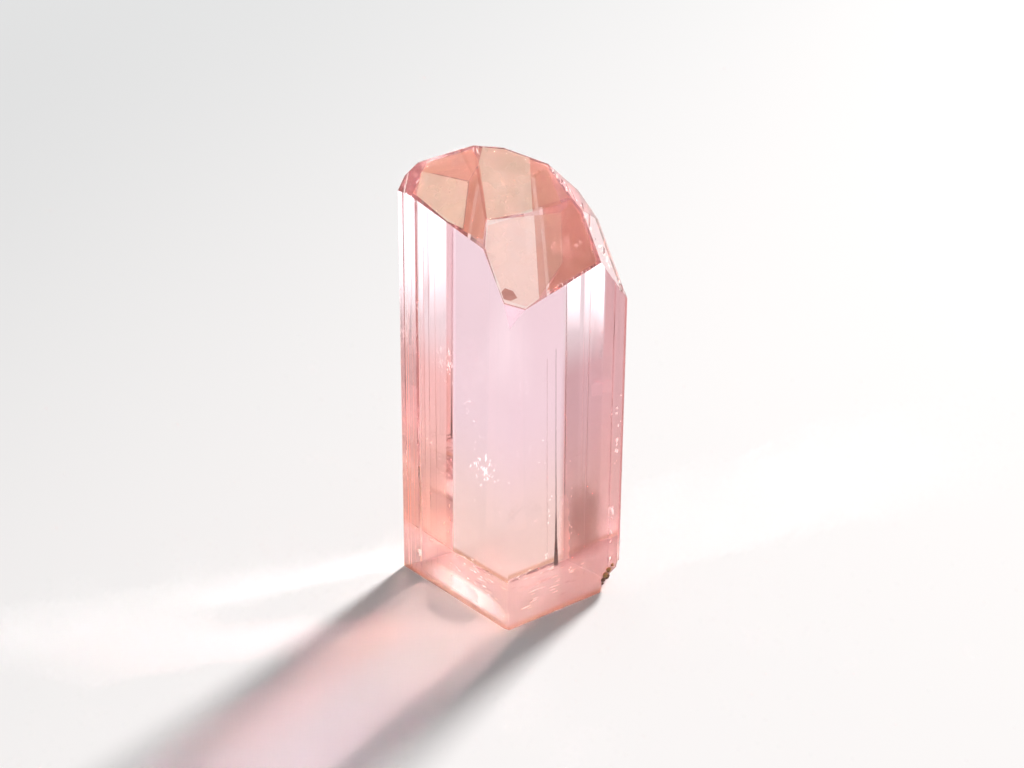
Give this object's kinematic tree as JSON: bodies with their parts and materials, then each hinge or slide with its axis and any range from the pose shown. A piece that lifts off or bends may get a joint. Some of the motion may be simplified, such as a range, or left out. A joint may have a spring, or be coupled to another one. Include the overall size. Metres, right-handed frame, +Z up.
{
  "type": "topaz crystal",
  "caption": "Clear pink topaz crystal: a striated prism with a slanting faceted tip, standing on its flat cleaved base.",
  "frame": {"origin": "on the flat cleaved base, under the middle of the crystal's bounding box", "axes": "+Z up the long axis of the prism, away from the base; -Y towards the front edge between the crystal's front faces; +X towards the right-hand edge"},
  "size_m": [0.0116, 0.0104, 0.025],
  "materials": {
    "clear pink topaz": "clear, smooth growth faces"
  },
  "bodies": {
    "root": {"topaz_crystal": "clear pink topaz"}
  },
  "joints": []
}
